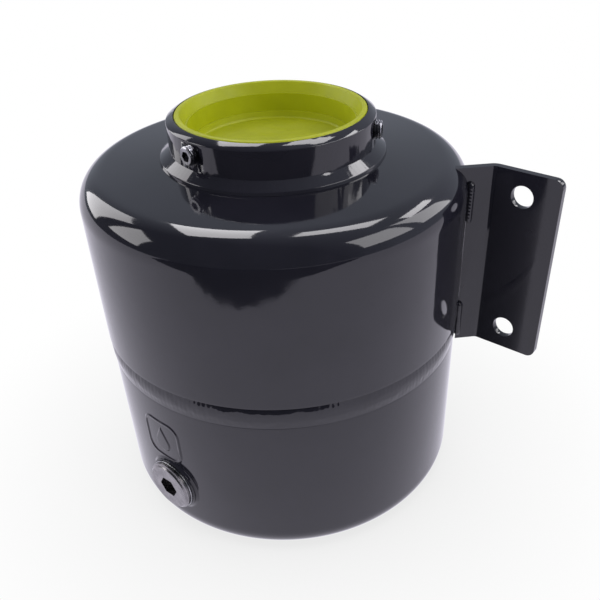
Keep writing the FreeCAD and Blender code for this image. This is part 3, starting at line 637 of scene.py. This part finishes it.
def paint_cad_nodes():
    """Materials for the CAD nodes that are shown as they are."""
    plug_low, plug_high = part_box("drain_plug")
    plug_centre = ((plug_low.x + plug_high.x) / 2, (plug_low.z + plug_high.z) / 2)
    steel, bright = (0.21, 0.205, 0.21), (0.30, 0.29, 0.295)
    paint_node("drain_plug", machined_metal("turned_steel", steel, bright, "Y", plug_centre))
    zinc = machined_metal("zinc_plate", (0.22, 0.22, 0.24), (0.36, 0.36, 0.38), "Z", (0, 0), (0.16, 0.3))
    for screw in ("set_screw_front", "set_screw_right", "set_screw_rear"):
        paint_node(screw, zinc)
    ring_steel = machined_metal("ring_steel", (0.3, 0.3, 0.3), (0.5, 0.49, 0.47), "Z", (0, 0))
    paint_node("bladder_retaining_ring", ring_steel)
    seal_metal = machined_metal("seal_metal", (0.28, 0.29, 0.3), (0.42, 0.42, 0.43), "Y", plug_centre)
    paint_node("drain_seal_ring", seal_metal)
    paint_node("wall_bracket", powder_coat("bracket_coat"))
    smooth = powder_coat("collar_coat")
    for node in ("neck_collar", "drain_boss", "gas_valve_boss"):
        paint_node(node, smooth)
    paint_node("gas_valve_weld", powder_coat("small_weld_coat", lump=0.05 * MM))
    paint_node("closing_cap", cap_plastic("lime_plastic", (0.30, 0.33, 0.002), (0.34, 0.37, 0.003)))
    paint_node("gas_valve_cap", cap_plastic("black_plastic", (0.012, 0.012, 0.012), (0.02, 0.02, 0.02)))
    brass = machined_metal("brass", (0.62, 0.44, 0.16), (0.78, 0.58, 0.25), "Z", (0, 0))
    for node in ("gas_valve_stem", "valve_core_barrel", "valve_core_pin"):
        paint_node(node, brass)
    black = rubber("seal_rubber", (0.012, 0.012, 0.012), (0.022, 0.021, 0.02))
    for node in ("gas_valve_gasket", "valve_core_seal", "gas_valve_cap_seal"):
        paint_node(node, black)


# Studio ---------------------------------------------------------------------------------------------


def add_floor():
    """Plain pale floor that glows for the camera, with a painted soft shadow at the object's foot where
    ambient occlusion dims the glow; reflections see it as a lit white table.
    """
    bm = bmesh.new()
    bmesh.ops.create_grid(bm, x_segments=1, y_segments=1, size=6.0)
    floor = finish_mesh("floor", bm)
    finish = Finish("floor_white")
    finish.colour(finish.noise(0.5), (0.80, 0.80, 0.80), (0.82, 0.82, 0.82))
    finish.set(Roughness=0.9)
    nodes, links = finish.nodes, finish.links
    # painted shadow: ambient occlusion near the object darkens the floor's camera glow
    painted_foot_shadow = nodes.new("ShaderNodeAmbientOcclusion")
    painted_foot_shadow.inputs["Distance"].default_value = 0.16
    painted_foot_shadow.samples = 12
    seen = nodes.new("ShaderNodeEmission")
    links.new(finish.ramp(painted_foot_shadow.outputs["AO"], 0.80, 1.0, 0.35, 1.0), seen.inputs["Strength"])
    reflected = nodes.new("ShaderNodeEmission")
    reflected.inputs["Color"].default_value = (0.95, 0.92, 1.05, 1)
    reflected.inputs["Strength"].default_value = 1.05
    path = nodes.new("ShaderNodeLightPath")
    surface = finish.shader.outputs["BSDF"]
    for ray, light in (("Is Glossy Ray", reflected), ("Is Camera Ray", seen)):
        mix = nodes.new("ShaderNodeMixShader")
        links.new(path.outputs[ray], mix.inputs["Fac"])
        links.new(surface, mix.inputs[1])
        links.new(light.outputs["Emission"], mix.inputs[2])
        surface = mix.outputs["Shader"]
    links.new(surface, nodes["Material Output"].inputs["Surface"])
    floor.data.materials.append(finish.material)


def add_panel(name, place, facing, width, height, brightness=12.5):
    """A rectangular soft light that also shows in reflections. Its power follows its area."""
    light = bpy.data.lights.new(name, "AREA")
    light.shape = "RECTANGLE"
    light.size = width
    light.size_y = height
    light.energy = brightness * width * height
    light.color = (1.0, 0.98, 1.0)
    panel = bpy.data.objects.new(name, light)
    panel.location = place
    panel.rotation_euler = Vector(facing).to_track_quat("-Z", "Y").to_euler()
    bpy.context.scene.collection.objects.link(panel)
    return panel


def add_flag():
    """Dark card over the floor's front part. It only darkens reflections, as a camera's own side does."""
    above_floor, waver, outer = 2 * MM, 10 * MM, -6
    edge = [(-1.70, -4.00), (-0.80, -1.49), (-0.01, -0.43), (0.42, -0.25), (1.04, -0.29), (4.00, -0.34)]
    steps = 24
    bm = bmesh.new()
    spots = [Vector((x, y, above_floor)) for x, y in edge]
    rim = [spots[0]]
    for here, there in zip(spots, spots[1:]):
        rim += [here.lerp(there, k / steps) for k in range(1, steps + 1)]
    rim = [spot + Vector((0, 1, 0)) * waver * noise.noise(spot * 60) for spot in rim]
    rim += [Vector((x, outer, above_floor)) for x in (edge[-1][0], edge[0][0])]
    bm.faces.new([bm.verts.new(spot) for spot in rim])
    flag = finish_mesh("dark_flag", bm)
    finish = Finish("flag_black")
    finish.set(Roughness=1.0, Base_Color=(0.01, 0.01, 0.012, 1))
    flag.data.materials.append(finish.material)
    for ray in ("visible_camera", "visible_diffuse", "visible_shadow", "visible_transmission"):
        setattr(flag, ray, False)


def add_world():
    """A studio room: white to the camera, even for soft light, and lighter behind in reflections."""
    world = bpy.data.worlds.new("studio")
    bpy.context.scene.world = world
    world.use_nodes = True
    nodes, links = world.node_tree.nodes, world.node_tree.links
    room = nodes["Background"]
    room.inputs["Color"].default_value = (0.80, 0.86, 1.0, 1)
    direction = nodes.new("ShaderNodeTexCoord")
    split = nodes.new("ShaderNodeSeparateXYZ")
    links.new(direction.outputs["Generated"], split.inputs["Vector"])
    ramp = nodes.new("ShaderNodeMapRange")
    ramp.inputs["From Min"].default_value = -0.25
    ramp.inputs["From Max"].default_value = 0.35
    ramp.inputs["To Min"].default_value = 0.10
    ramp.inputs["To Max"].default_value = 0.5
    links.new(split.outputs["Y"], ramp.inputs["Value"])
    links.new(ramp.outputs["Result"], room.inputs["Strength"])
    path = nodes.new("ShaderNodeLightPath")
    surface = room.outputs["Background"]
    for ray, strength in (("Is Diffuse Ray", 0.8), ("Is Camera Ray", 1.0)):
        even = nodes.new("ShaderNodeBackground")
        even.inputs["Color"].default_value = (1, 1, 1, 1)
        even.inputs["Strength"].default_value = strength
        mix = nodes.new("ShaderNodeMixShader")
        links.new(path.outputs[ray], mix.inputs["Fac"])
        links.new(surface, mix.inputs[1])
        links.new(even.outputs["Background"], mix.inputs[2])
        surface = mix.outputs["Shader"]
    links.new(surface, nodes["World Output"].inputs["Surface"])


def add_studio():
    """Pairs of soft panels left and right, and two overhead."""
    add_floor()
    add_flag()
    add_world()
    side, ceiling = 0.9, 1.1
    for name, x, low_y, high_y, bottom, top in (
        ("left_middle", -side, -0.30, 0.04, 0.26, 0.98),
        ("left_front", -side, -1.15, -0.50, 0.42, 1.10),
        ("right_middle", side, -0.05, 0.52, 0.51, 1.20),
        ("right_rear", side, 0.70, 2.00, 0.54, 1.45),
    ):
        place = Vector((x, (low_y + high_y) / 2, (bottom + top) / 2))
        add_panel(name, place, (-x, 0, 0), high_y - low_y, top - bottom)
    for name, x, y, along, across in (
        ("top_left", -0.57, 0.24, 0.80, 0.34),
        ("top_right", 0.055, 0.37, 0.29, 0.44),
        ("top_rear", 0.42, 0.95, 0.55, 0.30),
    ):
        panel = add_panel(name, Vector((x, y, ceiling)), (0, 0, -1), along, across, 24)
        panel.rotation_euler = (0, 0, math.radians(127))
        panel.visible_diffuse = False


def add_camera():
    """Camera above and to the right of the drain, slightly rolled, with a shifted frame."""
    azimuth, elevation, roll = math.radians(38.75), math.radians(35.92), math.radians(1.70)
    target, distance = Vector((0.0205, 0.0153, 0.0788)), 0.479
    level = Vector((math.sin(azimuth), -math.cos(azimuth), 0))
    back = level * math.cos(elevation) + Vector((0, 0, math.sin(elevation)))
    camera = bpy.data.objects.new("camera", bpy.data.cameras.new("camera"))
    camera.location = target + back * distance
    camera.rotation_mode = "QUATERNION"
    camera.rotation_quaternion = back.to_track_quat("Z", "Y") @ Matrix.Rotation(-roll, 3, "Z").to_quaternion()
    camera.data.lens = 42.8
    camera.data.shift_x = -0.0417
    camera.data.shift_y = 0.0710
    camera.data.clip_start = 0.01
    bpy.context.scene.collection.objects.link(camera)
    bpy.context.scene.camera = camera


shell_coat = powder_coat("shell_coat")
weld_coat = powder_coat("weld_coat", lump=0.015 * MM)
make_upper_shell(shell_coat)
make_lower_shell(shell_coat)
make_girth_weld(weld_coat)
make_neck_weld(weld_coat)
make_boss_weld(weld_coat)
make_bracket_welds(weld_coat)
make_bladder(rubber("butyl", (0.012, 0.012, 0.013), (0.02, 0.02, 0.021)))
make_core_spring(machined_metal("spring_steel", (0.4, 0.4, 0.4), (0.6, 0.6, 0.58), "Z", (0, 0)))
soften("neck_collar", 0.4 * MM)
soften("wall_bracket", 0.5 * MM)
soften("drain_boss", 0.3 * MM)
paint_cad_nodes()
add_studio()
add_camera()
bpy.context.scene.view_settings.view_transform = "Standard"
